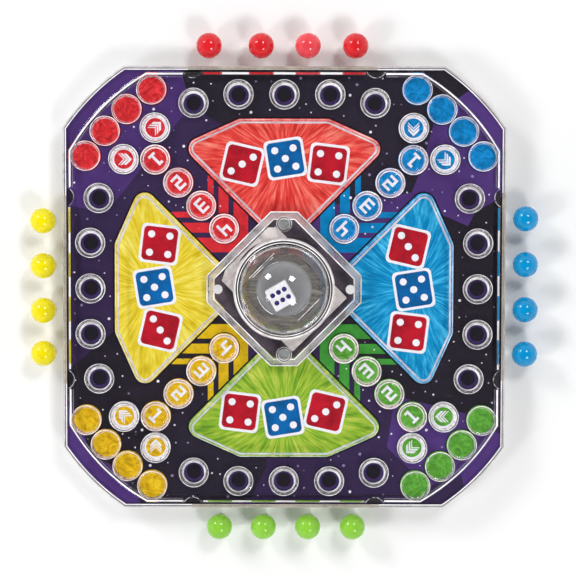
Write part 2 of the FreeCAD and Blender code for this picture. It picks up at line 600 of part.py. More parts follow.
def make_die():
    """The die, six up, with its corners rounded and a shallow hollow for each pip."""
    block = doc.addObject("Part::Box", "die_block")
    for way in ("Length", "Width", "Height"):
        block.setExpression(way, "sizes.die_side")
    for way in "xyz":
        block.setExpression("Placement.Base." + way, "-sizes.die_side / 2")
    doc.recompute()
    rounded = doc.addObject("Part::Fillet", "die_rounded")
    rounded.Base = block
    rounded.Edges = [(index, size["die_round"], size["die_round"]) for index in range(1, 13)]
    step, row = size["pip_step"], size["pip_row"]
    layout = {
        1: [(0, 0)], 2: [(-step, -step), (step, step)],
        3: [(-step, -step), (0, 0), (step, step)],
        4: [(x, y) for x in (-step, step) for y in (-step, step)],
        5: [(x, y) for x in (-step, step) for y in (-step, step)] + [(0, 0)],
        6: [(x, y) for x in (-step, 0, step) for y in (-row, row)],
    }
    height = size["die_side"] / 2 + size["pip_radius"] - size["pip_sink"]
    pips = []
    for face, (count, axis, angle) in DIE_FACES.items():
        spin = FreeCAD.Rotation(vector(*axis), angle)
        for index, (x, y) in enumerate(layout[count], start=1):
            pip = doc.addObject("Part::Sphere", f"pip_{face}_{index}")
            pip.setExpression("Radius", "sizes.pip_radius")
            pip.Placement = FreeCAD.Placement(spin.multVec(vector(x, y, height)), spin)
            pips.append(pip)
    hollows = doc.addObject("Part::Compound", "pip_hollows")
    hollows.Links = pips
    die = doc.addObject("Part::Cut", "die")
    die.Label = "die"
    die.Base = rounded
    die.Tool = hollows
    rest = size["dome_low"] - size["dish_depth"] + size["die_gap"] + size["die_side"] / 2
    turn = FreeCAD.Rotation(vector(0, 0, 1), size["die_turn"])
    die.Placement = FreeCAD.Placement(vector(size["die_x"], size["die_y"], rest), turn)


def make_pegs():
    """Four pegs of each colour, standing in a row beside their own edge of the board."""
    foot, step = size["peg_foot"], size["peg_step"]
    neck, ball, centre = size["peg_neck"], size["peg_ball"], size["peg_ball_at"]
    join = centre - math.sqrt(ball ** 2 - neck ** 2)
    section = polyline([(0.0, centre + ball), (0.0, 0.0), (foot, 0.0), (foot, step)])
    section.append(((foot, step), (size["peg_waist"], size["peg_waist_at"]), (neck, join)))
    section.append(((neck, join), (ball, centre), (0.0, centre + ball)))
    for quarter, colour in enumerate(SIDES):
        for index, along in enumerate(PEG_ALONG[colour], start=1):
            body = new_body(f"peg_{colour}_{index}")
            half_section = profile(body, f"peg_section_{colour}_{index}", section)
            revolve(body, half_section, f"peg_{colour}_{index}_shape")
            row = "sizes.peg_row" if quarter < 2 else "-sizes.peg_row"
            across, down = ("x", "y") if quarter % 2 == 0 else ("y", "x")
            body.setExpression("Placement.Base." + across, row)
            body.setExpression("Placement.Base." + down, str(along))


def export_parts():
    """Checks every object, then writes each sub-part under its own name."""
    doc.recompute()
    for item in doc.Objects:
        if "Invalid" in item.State or "Error" in item.State:
            raise RuntimeError(f"{item.Name} failed: {item.State}")
    nodes = ["base_tray", "printed_card", "clear_deck", "popper_housing", "popper_cup", "popper_frame",
             "housing_screws", "pin_left", "pin_right", "dome", "plate_ring", "click_plate", "die",
             "foot_back_right", "foot_back_left", "foot_front_left", "foot_front_right"]
    nodes += [f"peg_{colour}_{index}" for colour in SIDES for index in range(1, 5)]
    for item in doc.Objects:
        if item.TypeId != "PartDesign::Body":
            continue
        volume = 0.0
        for feature in item.Group:
            if feature.TypeId == "PartDesign::Pocket" and feature.Shape.Volume > volume - CLOSE:
                raise RuntimeError(f"{feature.Name} cuts nothing")
            if hasattr(feature, "Shape") and feature.Shape.Volume > 0:
                volume = feature.Shape.Volume
    for node in nodes:
        item = doc.getObjectsByLabel(node)[0]
        shape = item.Shape
        if shape.isNull() or not shape.isValid() or not shape.Solids:
            raise RuntimeError(f"{node} has no valid solid")
        shape.exportStep(f"parts/{node}.step")
        box = shape.BoundBox
        print(f"{node}: {len(shape.Solids)} solid, {shape.Volume / 1000:.2f} cm3, "
              f"z {box.ZMin:.2f} to {box.ZMax:.2f}, x {box.XMin:.1f} to {box.XMax:.1f}")


make_feet()
make_tray()
make_card()
make_deck()
make_housing()
make_pins()
make_cup()
make_frame()
make_screws()
make_dome()
make_plate_ring()
make_click_plate()
make_die()
make_pegs()
export_parts()
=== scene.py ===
"""The looks of a pop up dice board game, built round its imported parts.

Sizes are millimetres, times MM where they reach Blender. +Y is the red side, -X yellow, -Y green, +X blue.
"""
import math
import random

import bmesh
import bpy
from mathutils import Matrix, Vector


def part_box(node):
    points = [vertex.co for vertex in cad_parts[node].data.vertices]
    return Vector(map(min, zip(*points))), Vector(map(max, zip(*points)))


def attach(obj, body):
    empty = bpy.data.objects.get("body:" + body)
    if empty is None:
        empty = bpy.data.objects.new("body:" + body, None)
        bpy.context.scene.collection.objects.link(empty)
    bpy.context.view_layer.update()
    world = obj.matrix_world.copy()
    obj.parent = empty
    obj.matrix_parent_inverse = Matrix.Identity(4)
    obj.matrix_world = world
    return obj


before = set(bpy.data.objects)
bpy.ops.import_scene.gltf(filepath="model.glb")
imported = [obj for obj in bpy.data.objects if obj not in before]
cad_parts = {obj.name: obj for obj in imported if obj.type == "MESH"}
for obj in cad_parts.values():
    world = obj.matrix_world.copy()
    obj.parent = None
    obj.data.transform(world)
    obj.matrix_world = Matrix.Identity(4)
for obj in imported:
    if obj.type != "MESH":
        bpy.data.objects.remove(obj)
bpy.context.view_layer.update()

MM = 0.001
SCENE = bpy.context.scene

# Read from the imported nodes.
CARD_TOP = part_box("printed_card")[1].z / MM
DIE_LOW, DIE_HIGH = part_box("die")

# The part's own heights and widths.
DECK_TOP, DECK_HALF, DECK_REACH = 24.0, 129.5, 154.5
FLANGE_TOP, FLANGE_HALF, FLANGE_REACH = 20.5, 132.2, 163.7
CORNER_CENTRE = 21.0
RIDGE_HIGH = 0.9
WELL = 30.8
HOUSING_HALF, HOUSING_SLANT, HOUSING_EDGE, HOUSING_TOP, HOUSING_RISE = 46.2, 54.3, 25.5, 30.0, 4.5
COLLAR_OUTER, COLLAR_INNER, COLLAR_TOP = 29.5, 27.5, 31.5
POST_OUT = 39.0
FRAME_PLATE_TOP = 25.0
DIE_TURN_DEG = 30.0

# A socket's radius at the deck and at its floor.
SOCKET_DEEP = 3.5
SOCKET_WALL = {"track": (8.65, 6.3), "entry": (8.65, 6.3), "start": (8.2, 7.4), "home": (8.4, 6.05)}

# The notches in the deck's edge, the room that its lines leave them, and where the bowed corners start.
NOTCH_OUT, NOTCH_ALONG, NOTCH_RADIUS, NOTCH_ROOM = 131.5, 54.6, 5.6, 6.2
CORNER_FROM = 57.0

# The thickness of a coat of ink and of a glint on clear plastic.
LAYER = 0.02
SKIN = 0.06

# The board's cells in one quarter, from +X round to +Y, as the part has them.
TRACK = [(-54.1, 110.7), (-27.3, 115.8), (0.0, 115.8), (27.3, 115.8), (54.1, 110.7)]
START = [(79.2, 118.7), (94.0, 107.0), (107.0, 94.0), (118.7, 79.2)]
ENTRY = [((77.2, 96.0), (0.0, -1.0)), ((96.0, 77.2), (1.0, -1.0))]
HOME = [77.0, 63.3, 49.6, 35.9]
CORNERS = ("blue", "red", "yellow", "green")
PETALS = ("red", "yellow", "green", "blue")

# Petal outline on the +Y side.
PETAL_FAR, PETAL_FLAT, PETAL_NEAR = 100.9, 26.5, 34.4
PETAL_TIP = (61.0, 85.4)
PETAL_ROUND = 6.0
RIDGE_WIDE = 2.4
PETAL_HEART = 78.0
MOTIF_MIDDLE = 76.0
RIDGE_END = (14.95, 39.35)

CELL_ROUND = 9.0
INK = {"red": (226, 46, 50), "blue": (6, 132, 196), "yellow": (236, 186, 22), "green": (96, 170, 58)}
STRIPE = {"red": (236, 52, 60), "blue": (0, 138, 198), "yellow": (236, 194, 26), "green": (72, 164, 62)}
PEG = {"red": (222, 34, 42), "blue": (0, 146, 206), "yellow": (244, 228, 12), "green": (140, 204, 62)}
PALE_RED = (240, 72, 82)
MATTE_INK = {"Roughness": 0.5, "Specular IOR Level": 0.08}
LAMP_WATTS = 11.4
BURST = {
    "red": ((196, 38, 36), (240, 72, 64), (255, 146, 126)),
    "yellow": ((214, 182, 18), (240, 214, 52), (255, 240, 120)),
    "green": ((96, 150, 40), (150, 190, 52), (212, 218, 92)),
    "blue": ((0, 116, 172), (8, 146, 198), (84, 206, 246)),
}


def turned(x, y, quarter):
    """The point (x, y) turned about the middle by so many quarter turns."""
    for _ in range(quarter % 4):
        x, y = -y, x
    return x, y


NOTCHES = [turned(NOTCH_OUT, along, quarter) for quarter in range(4) for along in (-NOTCH_ALONG, NOTCH_ALONG)]


def linear(colour):
    """An sRGB colour of 0 to 255 as Blender's linear colour."""
    channels = [value / 255 for value in colour]
    return [c / 12.92 if c <= 0.04045 else ((c + 0.055) / 1.055) ** 2.4 for c in channels] + [1.0]


class Tree:
    """A node tree with short ways to add nodes and join them."""

    def __init__(self, owner):
        owner.use_nodes = True
        self.nodes, self.links = owner.node_tree.nodes, owner.node_tree.links
        self.nodes.clear()

    def add(self, kind, inputs=None, **settings):
        node = self.nodes.new("ShaderNode" + kind)
        for name, value in settings.items():
            setattr(node, name, value)
        for name, value in (inputs or {}).items():
            self.feed(node.inputs[name], value)
        return node

    def feed(self, socket, value):
        if isinstance(value, bpy.types.NodeSocket):
            self.links.new(value, socket)
        elif isinstance(value, bpy.types.Node):
            self.links.new(value.outputs[0], socket)
        else:
            socket.default_value = value

    def maths(self, operation, first, second=0.0, third=0.0):
        return self.add("Math", {0: first, 1: second, 2: third}, operation=operation).outputs[0]

    def place(self, scale=1.0):
        """The point on the object, in millimetres times scale."""
        where = self.add("TexCoord").outputs["Object"]
        return self.add("VectorMath", {0: where, "Scale": scale / MM}, operation="SCALE").outputs[0]

    def noise(self, vector, scale, detail=2.0, rough=0.5, warp=0.0):
        inputs = {"Vector": vector, "Scale": scale, "Detail": detail, "Roughness": rough, "Distortion": warp}
        return self.add("TexNoise", inputs).outputs["Fac"]

    def ramp(self, factor, stops, constant=False):
        node = self.add("ValToRGB", {"Fac": factor})
        if constant:
            node.color_ramp.interpolation = "CONSTANT"
        elements = node.color_ramp.elements
        for spot, colour in stops[2:]:
            elements.new(spot)
        for element, (spot, colour) in zip(elements, stops):
            element.position = spot
            element.color = linear(colour) if len(colour) == 3 else colour
        return node.outputs["Color"]

    def blend(self, factor, first, second):
        node = self.add("Mix", {"Factor": factor}, data_type="RGBA")
        self.feed(node.inputs[6], first)
        self.feed(node.inputs[7], second)
        return node.outputs[2]

    def span(self, value, least, most, low=0.0, high=1.0):
        """The value's run from low to high, turned into one from least to most."""
        inputs = {"Value": value, "From Min": low, "From Max": high, "To Min": least, "To Max": most}
        return self.add("MapRange", inputs).outputs[0]

    def bump(self, height, strength, distance):
        inputs = {"Height": height, "Strength": strength, "Distance": distance * MM}
        return self.add("Bump", inputs).outputs[0]

    def finish(self, shader):
        self.feed(self.add("OutputMaterial").inputs["Surface"], shader)

    def principled(self, inputs):
        """Finishes the tree with one principled shader."""
        self.finish(self.add("BsdfPrincipled", inputs))


def material(name):
    """A new material and its empty node tree."""
    made = bpy.data.materials.new(name)
    return made, Tree(made)


def shaded(colour, share):
    """The colour with each channel times share."""
    return tuple(channel * share for channel in colour)


def lets_light_through(tree, shader, tint):
    """Clear plastic as the camera sees it, and plainly see-through for lamps and for soft light."""
    open_way = tree.add("BsdfTransparent", {"Color": tint})
    path = tree.add("LightPath")
    soft = tree.add("MixShader", {0: path.outputs["Is Diffuse Ray"], 1: shader, 2: open_way})
    return tree.add("MixShader", {0: path.outputs["Is Shadow Ray"], 1: soft, 2: open_way})


def clear_plastic(name, colour, rough, tint, waves=0.0):
    """Clear moulded plastic with an uneven polish, and shallow waves where these are given."""
    made, tree = material(name)
    place = tree.place()
    polish = tree.span(tree.noise(place, 0.05, 3.0), rough * 0.6, rough * 1.5)
    inputs = {"Base Color": linear(colour), "Roughness": polish, "IOR": 1.49, "Transmission Weight": 1.0}
    if waves:
        inputs["Normal"] = tree.bump(tree.noise(place, 0.12, 1.0), waves, 0.4)
    tree.finish(lets_light_through(tree, tree.add("BsdfPrincipled", inputs), tint))
    return made


def satin_plastic(name, colour, darker, rough=0.35, grain=0.9):
    """Opaque moulded plastic with a faint mottle and a fine skin."""
    made, tree = material(name)
    place = tree.place()
    mottle = tree.noise(place, 0.14, 3.0, 0.6)
    fine = tree.noise(place, grain, 3.0, 0.6)
    tree.principled({"Base Color": tree.ramp(mottle, [(0.3, darker), (0.7, colour)]),
                     "Normal": tree.bump(fine, 0.15, 0.05),
                     "Roughness": tree.span(fine, rough - 0.06, rough + 0.06)})
    return made


def glint(name, colour, least, most, scale=0.16, rough=0.3, painted_glow=0.0):
    """A thin skin of colour laid over clear plastic, uneven along its length, mostly painted light: pale ones
    are painted highlights and painted reflections of moulded edges, dark ones painted shade lines.

    Painted glow is emission that makes an edge glow though it is no lamp.
    """
    made, tree = material(name)
    uneven = tree.noise(tree.place(), scale, 4.0, 0.65, 0.6)
    # Pale or dark colour over the clear plastic is painted highlight or painted shade; the emission is
    # painted glow.
    base = tree.ramp(uneven, [(0.35, shaded(colour, 0.88)), (0.6, colour)])
    cover = tree.span(uneven, least, most, 0.38, 0.62)
    tree.principled({"Base Color": base, "Roughness": rough, "Alpha": cover,
                     "Emission Color": (1.0, 0.99, 1.0, 1.0), "Emission Strength": painted_glow})
    return made


def edge_mirror(name):
    """The polished edge of the raised deck, which shows the white table and the pegs beside it."""
    made, tree = material(name)
    waves = tree.noise(tree.place(), 0.2, 2.0)
    base = tree.ramp(waves, [(0.3, (244, 243, 246)), (0.7, (252, 251, 253))])
    tree.principled({"Base Color": base, "Metallic": 1.0, "Roughness": 0.05,
                     "Normal": tree.bump(waves, 0.1, 0.05)})
    return made


def plate_steel(name):
    """The click plate: satin grey in its round dish, and outside it darker and streaked, a painted reflection
    of the dim surroundings.
    """
    made, tree = material(name)
    dish, past_dish = 16.2, 16.9
    place = tree.place()
    parts = tree.add("SeparateXYZ", {0: place})
    flat = tree.add("CombineXYZ", {0: parts.outputs[0], 1: parts.outputs[1]})
    reach = tree.add("VectorMath", {0: flat.outputs[0]}, operation="LENGTH").outputs["Value"]
    streak = tree.add("Mapping", {"Vector": place, "Rotation": (0.0, 0.0, math.radians(45.0)),
                                  "Scale": (0.06, 0.5, 0.5)})
    lines = tree.noise(streak.outputs[0], 1.0, 4.0, 0.7, 0.8)
    # Painted reflection: outside the dish, dark streaks stand in for the dim surroundings that the plate
    # mirrors.
    dark = tree.ramp(lines, [(0.3, (20, 17, 14)), (0.5, (54, 47, 38)), (0.68, (130, 120, 104))])
    satin = tree.ramp(tree.noise(place, 0.1, 4.0, 0.6), [(0.3, (128, 128, 129)), (0.7, (148, 148, 149))])
    base = tree.blend(tree.span(reach, 0.0, 1.0, dish, past_dish), satin, dark)
    tree.principled({"Base Color": base, "Metallic": 0.35, "Roughness": 0.38,
                     "Normal": tree.bump(lines, 0.06, 0.05)})
    return made


def peg_plastic(name, colour):
    """Glossy solid colour with a faint swirl of the melt and an uneven polish."""
    made, tree = material(name)
    place = tree.place()
    swirl = tree.noise(place, 0.09, 3.0, 0.6, 1.5)
    smear = tree.noise(place, 0.35, 3.0)
    tree.principled({"Base Color": tree.ramp(swirl, [(0.3, shaded(colour, 0.93)), (0.62, colour)]),
                     "Roughness": tree.span(smear, 0.12, 0.2), "IOR": 1.5, "Specular IOR Level": 0.45,
                     "Normal": tree.bump(tree.noise(place, 0.5, 2.0), 0.04, 0.05)})
    return made


def steel(name, light, dark):
    """Bright steel with fine lines along one way."""
    made, tree = material(name)
    mapping = tree.add("Mapping", {"Vector": tree.place(), "Scale": (0.05, 2.2, 0.5)})
    lines = tree.noise(mapping.outputs[0], 1.0, 5.0, 0.7)
    cloud = tree.noise(tree.place(), 0.08, 3.0)
    level = tree.maths("ADD", tree.maths("MULTIPLY", lines, 0.6), tree.maths("MULTIPLY", cloud, 0.4))
    tree.principled({"Base Color": tree.ramp(level, [(0.35, dark), (0.65, light)]), "Metallic": 0.85,
                     "Roughness": tree.span(lines, 0.28, 0.42), "Normal": tree.bump(lines, 0.08, 0.05)})
    return made


def rubber(name):
    """Dark rubber with a gritty skin."""
    made, tree = material(name)
    grit = tree.noise(tree.place(), 1.4, 4.0, 0.7)
    base = tree.ramp(grit, [(0.3, (26, 26, 28)), (0.75, (48, 48, 50))])
    tree.principled({"Base Color": base, "Roughness": 0.75, "Normal": tree.bump(grit, 0.3, 0.1)})
    return made


def card_print(name):
    """The card's night ground: near black with angular fields of violet and navy."""
    made, tree = material(name)
    place = tree.place()
    fields = tree.add("TexVoronoi", {"Vector": place, "Scale": 0.0125, "Randomness": 0.95})
    shade = tree.add("SeparateColor", {"Color": fields.outputs["Color"]}).outputs[0]
    stops = [(0.0, (34, 28, 34)), (0.2, (60, 42, 82)), (0.36, (40, 34, 46)), (0.5, (88, 56, 128)),
             (0.72, (36, 31, 38)), (0.84, (94, 62, 138))]
    flat = tree.ramp(shade, stops, constant=True)
    wash = tree.noise(place, 0.02, 4.0, 0.6)
    worn = tree.blend(tree.maths("MULTIPLY", wash, 0.5), flat, linear((34, 28, 42)))
    fleck = tree.noise(place, 0.9, 3.0, 0.6)
    base = tree.blend(tree.maths("MULTIPLY", fleck, 0.06), worn, linear((90, 84, 104)))
    tree.principled({"Base Color": base, "Normal": tree.bump(fleck, 0.05, 0.03), **MATTE_INK})
    return made


def ink(name, colour, deep=0.86, scale=0.22):
    """Plain printed ink with the card's fine mottle."""
    made, tree = material(name)
    mottle = tree.noise(tree.place(), scale, 4.0, 0.65)
    base = tree.ramp(mottle, [(0.35, shaded(colour, deep)), (0.6, colour)])
    tree.principled({"Base Color": base, **MATTE_INK})
    return made


def swirl_ink(name, colour):
    """Ink brushed round in loose swirls, for the start, home and entry cells."""
    made, tree = material(name)
    swirl = tree.noise(tree.place(), 0.12, 4.0, 0.65, 3.0)
    light = tuple(min(255, channel * 1.06 + 26) for channel in colour)
    base = tree.ramp(swirl, [(0.32, shaded(colour, 0.8)), (0.5, colour), (0.72, light)])
    tree.principled({"Base Color": base, **MATTE_INK})
    return made


def burst_ink(name, quarter, colours):
    """A petal's ground: fine strokes fanning out from the petal's heart."""
    made, tree = material(name)
    heart = (*turned(0.0, PETAL_HEART, quarter), CARD_TOP)
    away = tree.add("VectorMath", {0: tree.place(), 1: heart}, operation="SUBTRACT").outputs[0]
    reach = tree.add("VectorMath", {0: away}, operation="LENGTH").outputs["Value"]
    way = tree.add("VectorMath", {0: away}, operation="NORMALIZE").outputs[0]
    spoke = tree.add("SeparateXYZ", {0: way})

    def strokes(count, run, seed):
        inputs = {0: tree.maths("MULTIPLY", spoke.outputs[0], count),
                  1: tree.maths("MULTIPLY", spoke.outputs[1], count),
                  2: tree.maths("MULTIPLY_ADD", reach, run, seed)}
        return tree.noise(tree.add("CombineXYZ", inputs).outputs[0], 1.0, 2.0, 0.55)

    level = tree.maths("ADD", tree.maths("MULTIPLY", strokes(9.0, 0.05, 3.0), 0.55),
                       tree.maths("MULTIPLY", strokes(30.0, 0.11, 8.0), 0.45))
    dark, middle, light = colours
    base = tree.ramp(level, [(0.36, dark), (0.5, middle), (0.66, light)])
    tree.principled({"Base Color": base, **MATTE_INK})
    return made


def arc_points(centre, radius, start, end, steps):
    """Points along an arc, both its ends included."""
    turns = [start + (end - start) * step / steps for step in range(steps + 1)]
    return [(centre[0] + radius * math.cos(turn), centre[1] + radius * math.sin(turn)) for turn in turns]


def ring_points(x, y, radius, steps=48):
    """Points round a circle."""
    return arc_points((x, y), radius, 0.0, 2 * math.pi, steps)[:-1]


def rounded(corners, radius, steps=6):
    """A closed outline of straight sides whose corners are arcs of one radius."""
    outline = []
    for index, corner in enumerate(corners):
        here = Vector(corner)
        before = (Vector(corners[index - 1]) - here).normalized()
        after = (Vector(corners[(index + 1) % len(corners)]) - here).normalized()
        half = before.angle(after) / 2
        centre = here + (before + after).normalized() * (radius / math.sin(half))
        enter = here + before * (radius / math.tan(half)) - centre
        leave = here + after * (radius / math.tan(half)) - centre
        start = math.atan2(enter.y, enter.x)
        sweep = (math.atan2(leave.y, leave.x) - start + math.pi) % (2 * math.pi) - math.pi
        outline += arc_points(centre, radius, start, start + sweep, steps)
    return outline


def petal(inset, quarter):
    """One petal's rounded outline, moved inward by inset."""
    shoulder = math.atan2(PETAL_FAR - PETAL_TIP[1], PETAL_TIP[0] - PETAL_FLAT)
    flat = PETAL_FLAT - inset * math.tan(shoulder / 2)
    drop = inset / math.sin((math.pi / 4 + shoulder) / 2)
    toward = math.pi + (math.pi / 4 - shoulder) / 2
    tip_x = PETAL_TIP[0] + drop * math.cos(toward)
    tip_y = PETAL_TIP[1] + drop * math.sin(toward)
    near = PETAL_NEAR + inset
    near_x = tip_x - (tip_y - near)
    far = PETAL_FAR - inset
    corners = [(-flat, far), (-tip_x, tip_y), (-near_x, near), (near_x, near), (tip_x, tip_y), (flat, far)]
    return rounded([turned(x, y, quarter) for x, y in corners], PETAL_ROUND - inset)


def board_edge(half, reach, quarter_steps=14):
    """The board's bowed square outline: half its width, and its reach from the middle to a corner."""
    radius = reach - CORNER_CENTRE * math.sqrt(2)
    start = math.acos((half - CORNER_CENTRE) / radius)
    outline = []
    for quarter in range(4):
        arc = arc_points((CORNER_CENTRE, CORNER_CENTRE), radius, start, math.pi / 2 - start, quarter_steps)
        outline += [turned(x, y, quarter) for x, y in arc]
    return outline


def octagon(inset):
    """The housing's outline, a square on its corner with the corners cut off, moved inward by inset."""
    half, slant = HOUSING_HALF - inset, HOUSING_SLANT - inset * math.sqrt(2)
    flat = slant - half
    return [turned(x, y, quarter) for quarter in range(4) for x, y in ((half, -flat), (half, flat))]


def octagon_reach(x, y):
    """How far the edge of the housing's flat top is from the middle in the direction (x, y)."""
    half, slant = HOUSING_HALF - HOUSING_RISE, HOUSING_SLANT - HOUSING_RISE * math.sqrt(2)
    return min(half / max(abs(x), abs(y)), slant / (abs(x) + abs(y)))


def add_prism(shape, outline, low, high):
    """Adds a closed outline's prism between two heights."""
    rims = [[shape.verts.new((x * MM, y * MM, z * MM)) for x, y in outline] for z in (low, high)]
    shape.faces.new(rims[0][::-1])
    shape.faces.new(rims[1])
    for index in range(len(outline)):
        shape.faces.new((rims[0][index - 1], rims[0][index], rims[1][index], rims[1][index - 1]))


def add_loft(shape, rails, closed=True):
    """Adds a strip whose section has a corner on each rail, run round in a loop or capped at both ends."""
    rows = [[shape.verts.new(Vector(point) * MM) for point in rail] for rail in rails]
    count = len(rows[0])
    for index in range(count if closed else count - 1):
        ahead = (index + 1) % count
        for here, there in zip(rows, rows[1:] + rows[:1]):
            shape.faces.new((here[index], here[ahead], there[ahead], there[index]))
    if not closed:
        shape.faces.new([row[0] for row in rows])
        shape.faces.new([row[-1] for row in reversed(rows)])


def skin(line):
    """A thin section on a line of (distance, height) points: the line, and back again a little higher."""
    return [*line, *((distance, height + SKIN) for distance, height in reversed(line))]


def add_ring(shape, centre, line, steps=48, lean=0.0):
    """Adds a thin ring round a point that follows a line of (radius, height) points.

    Lean moves its inner edge toward the green side, so that the ring is wider on the red side.
    """
    inner = min(radius for radius, _ in line)
    span = max(radius for radius, _ in line) - inner
    add_loft(shape, [[(x, y - lean * (1.0 - (radius - inner) / span), height)
                      for x, y in ring_points(*centre, radius, steps)] for radius, height in skin(line)])


def mesh_piece(name, shape, finish, body="board"):
    """Turns a shape's faces outward and adds it as a piece that rides on a body."""
    bmesh.ops.recalc_face_normals(shape, faces=shape.faces)
    mesh = bpy.data.meshes.new(name)
    shape.to_mesh(mesh)
    shape.free()
    mesh.materials.append(finish)
    piece = bpy.data.objects.new(name, mesh)
    SCENE.collection.objects.link(piece)
    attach(piece, body)


def print_layer(name, outlines, level, finish):
    """Ink on the card: each outline a thin slab, higher levels lying over lower ones."""
    shape = bmesh.new()
    for outline in outlines:
        add_prism(shape, outline, CARD_TOP, CARD_TOP + level * LAYER)
    mesh_piece(name, shape, finish)


def print_discs(name, places, radius, level, finish):
    """Round spots of ink of one radius."""
    print_layer(name, [ring_points(x, y, radius) for x, y in places], level, finish)


def spots(kind, quarter):
    """The middles of one corner's or side's cells of a kind."""
    places = {"track": TRACK, "start": START, "entry": [spot for spot, _ in ENTRY],
              "home": [(along, along) for along in HOME]}
    return [turned(x, y, quarter) for x, y in places[kind]]


def all_spots(*kinds):
    """The middles of the whole board's cells of some kinds."""
    return [spot for kind in kinds for quarter in range(4) for spot in spots(kind, quarter)]


def make_prints():
    make_stripes()
    make_petal_prints()
    make_popper_ground()
    make_cell_prints()
    make_numbers()
    make_motifs()
    make_stars()


def make_stripes():
    """L-shaped stripes round each home path: two slim ones and a broad one with a cut corner."""
    bands = [(42.4, 45.8, 0.0), (33.4, 39.3, 0.0), (21.6, 30.3, 5.4)]
    far = 92.0
    for quarter, colour in enumerate(CORNERS):
        loops = []
        for near, away, cut in bands:
            corners = [(near + cut, near), (far, near), (far, away), (away, away), (away, far), (near, far)]
            if cut:
                corners.append((near, near + cut))
            loops.append([turned(x, y, quarter) for x, y in corners])
        print_layer("stripes_" + colour, loops, 1, ink("ink_stripe_" + colour, STRIPE[colour], 0.9))


def make_petal_prints():
    """Each petal's burst of colour, with a dark margin round it."""
    margin_out, print_out = 1.7, 0.7
    margin = ink("ink_margin", (24, 20, 30))
    print_layer("petal_margins", [petal(-margin_out, quarter) for quarter in range(4)], 2, margin)
    for quarter, colour in enumerate(PETALS):
        finish = burst_ink("ink_petal_" + colour, quarter, BURST[colour])
        print_layer("petal_print_" + colour, [petal(-print_out, quarter)], 3, finish)


def make_popper_ground():
    """The dull ground on the card under the housing's flat top, round the well."""
    ground = satin_plastic("ink_popper_ground", (112, 98, 108), (62, 52, 60), 0.5, 0.3)
    inner, high = WELL + 0.2, 4 * LAYER
    ways = [(x, y, octagon_reach(x, y)) for x, y in ring_points(0.0, 0.0, 1.0, 96)]
    rims = ([(x * reach, y * reach) for x, y, reach in ways], [(x * inner, y * inner) for x, y, _ in ways])
    rails = [[(x, y, CARD_TOP + height) for x, y in rims[side]]
             for side, height in ((0, 0.0), (0, high), (1, high), (1, 0.0))]
    shape = bmesh.new()
    add_loft(shape, rails)
    mesh_piece("popper_ground", shape, ground)


def make_cell_prints():
    """The discs under the sockets: dark on the track, coloured at the start, home and entry cells."""
    night = ink("ink_night", (70, 50, 102), 0.8)
    deep = ink("ink_deep", (30, 26, 34), 0.85)
    white = ink("ink_white", (252, 250, 252), 0.96, 0.5)
    edge = ink("ink_edge", (22, 18, 24))
    track, entry = all_spots("track"), all_spots("entry")
    print_discs("track_discs", track, 9.2, 4, deep)
    print_discs("track_middles", track, 6.0, 5, night)
    print_discs("track_hearts", track, 4.4, 6, deep)
    print_discs("cell_edges", all_spots("start", "home", "entry"), CELL_ROUND + 0.5, 4, edge)
    print_discs("entry_rings", entry, CELL_ROUND, 5, white)
    arrows = []
    for quarter, colour in enumerate(CORNERS):
        finish = swirl_ink("ink_cell_" + colour, INK[colour])
        for kind in ("start", "home"):
            print_discs(f"{kind}_discs_{colour}", spots(kind, quarter), CELL_ROUND, 5, finish)
        print_discs(f"entry_discs_{colour}", spots("entry", quarter), 5.8, 6, finish)
        for spot, heading in ENTRY:
            arrows += chevrons(turned(*spot, quarter), turned(*heading, quarter))
    print_layer("entry_arrows", arrows, 7, white)


def chevrons(spot, heading):
    """Three nested arrowheads, each stouter than the one behind it."""
    ahead = Vector(heading).normalized()
    side = Vector((-ahead.y, ahead.x))
    outlines = []
    for tip, arm, thick in ((0.6, 3.3, 0.75), (2.6, 3.5, 1.15), (4.9, 3.3, 1.7)):
        corners = [(tip, 0.0), (tip - arm, arm), (tip - arm - thick, arm), (tip - thick * 1.1, 0.0),
                   (tip - arm - thick, -arm), (tip - arm, -arm)]
        outlines.append([tuple(Vector(spot) + ahead * along + side * across) for along, across in corners])
    return outlines


def digit_outline(count):
    """A block digit's closed outline, in millimetres round its middle."""
    wide, tall, stroke = 2.9, 4.3, 1.65
    left, right, half = stroke - wide, wide - stroke, stroke / 2
    top, base = tall - stroke, stroke - tall
    foot = stroke * 1.5
    over = [(-wide, tall), (-wide, top), (right, top), (right, half), (-wide, half)]
    return {
        1: [(-foot, tall), (-foot, top), (-half, top), (-half, base), (-foot, base),
            (-foot, -tall), (foot, -tall), (foot, base), (half, base), (half, tall)],
        2: [*over, (-wide, -tall), (wide, -tall), (wide, base), (left, base), (left, -half), (wide, -half),
            (wide, tall)],
        3: [*over, (-wide, -half), (right, -half), (right, base), (-wide, base), (-wide, -tall),
            (wide, -tall), (wide, tall)],
        4: [(-wide, tall), (-wide, -half), (right, -half), (right, -tall), (wide, -tall), (wide, tall),
            (right, tall), (right, half), (left, half), (left, tall)],
    }[count]


def make_numbers():
    """The home cells' numbers, one to four inward, each corner's facing its own player."""
    white = ink("ink_number", (252, 250, 252), 0.96, 0.5)
    for quarter, colour in enumerate(CORNERS):
        outlines = []
        for count, distance in enumerate(HOME, start=1):
            middle = Vector(turned(distance, distance, quarter))
            spin = Matrix.Rotation(math.atan2(middle.y, middle.x) + math.pi / 2, 2)
            outlines.append([tuple(middle + spin @ Vector(corner)) for corner in digit_outline(count)])
        print_layer("numbers_" + colour, outlines, 7, white)


def motif_face(half, place, turn_deg, quarter):
    """The rounded outline of one dice face in a petal's row."""
    spun = Matrix.Rotation(math.radians(turn_deg), 2)
    square = [(-half, -half), (half, -half), (half, half), (-half, half)]
    flat = [spun @ Vector(corner) + Vector(place) for corner in square]
    return rounded([turned(corner.x, corner.y + MOTIF_MIDDLE, quarter) for corner in flat], half * 0.26)


